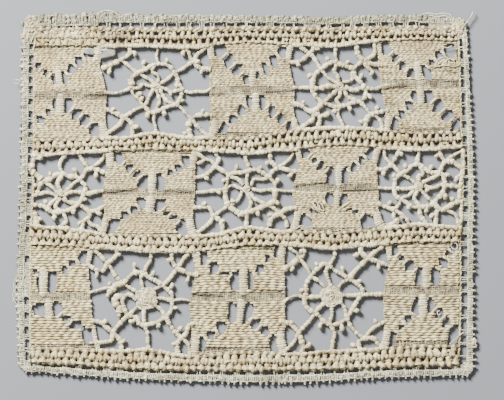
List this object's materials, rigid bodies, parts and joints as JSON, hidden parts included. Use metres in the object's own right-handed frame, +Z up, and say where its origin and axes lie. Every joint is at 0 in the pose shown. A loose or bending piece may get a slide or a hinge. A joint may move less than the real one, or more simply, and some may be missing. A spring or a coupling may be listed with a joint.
{
  "type": "lace fragment",
  "caption": "Flat fragment of needle lace: squares of spoked wheels and woven petals between hemstitched bands, edged with a narrow looped tape.",
  "frame": {"origin": "middle of the lace, on the surface that it lies on", "axes": "+X along the rows of squares, +Y across them towards the top edge, +Z up from the surface"},
  "size_m": [0.153, 0.124, 0.0017],
  "materials": {
    "needle_lace_linen": "matte",
    "edging_thread": "matte"
  },
  "bodies": {
    "root": {"lace_panel": "needle_lace_linen", "edging_left": "edging_thread", "edging_right": "edging_thread", "edging_top": "edging_thread", "edging_bottom": "edging_thread"}
  },
  "joints": []
}
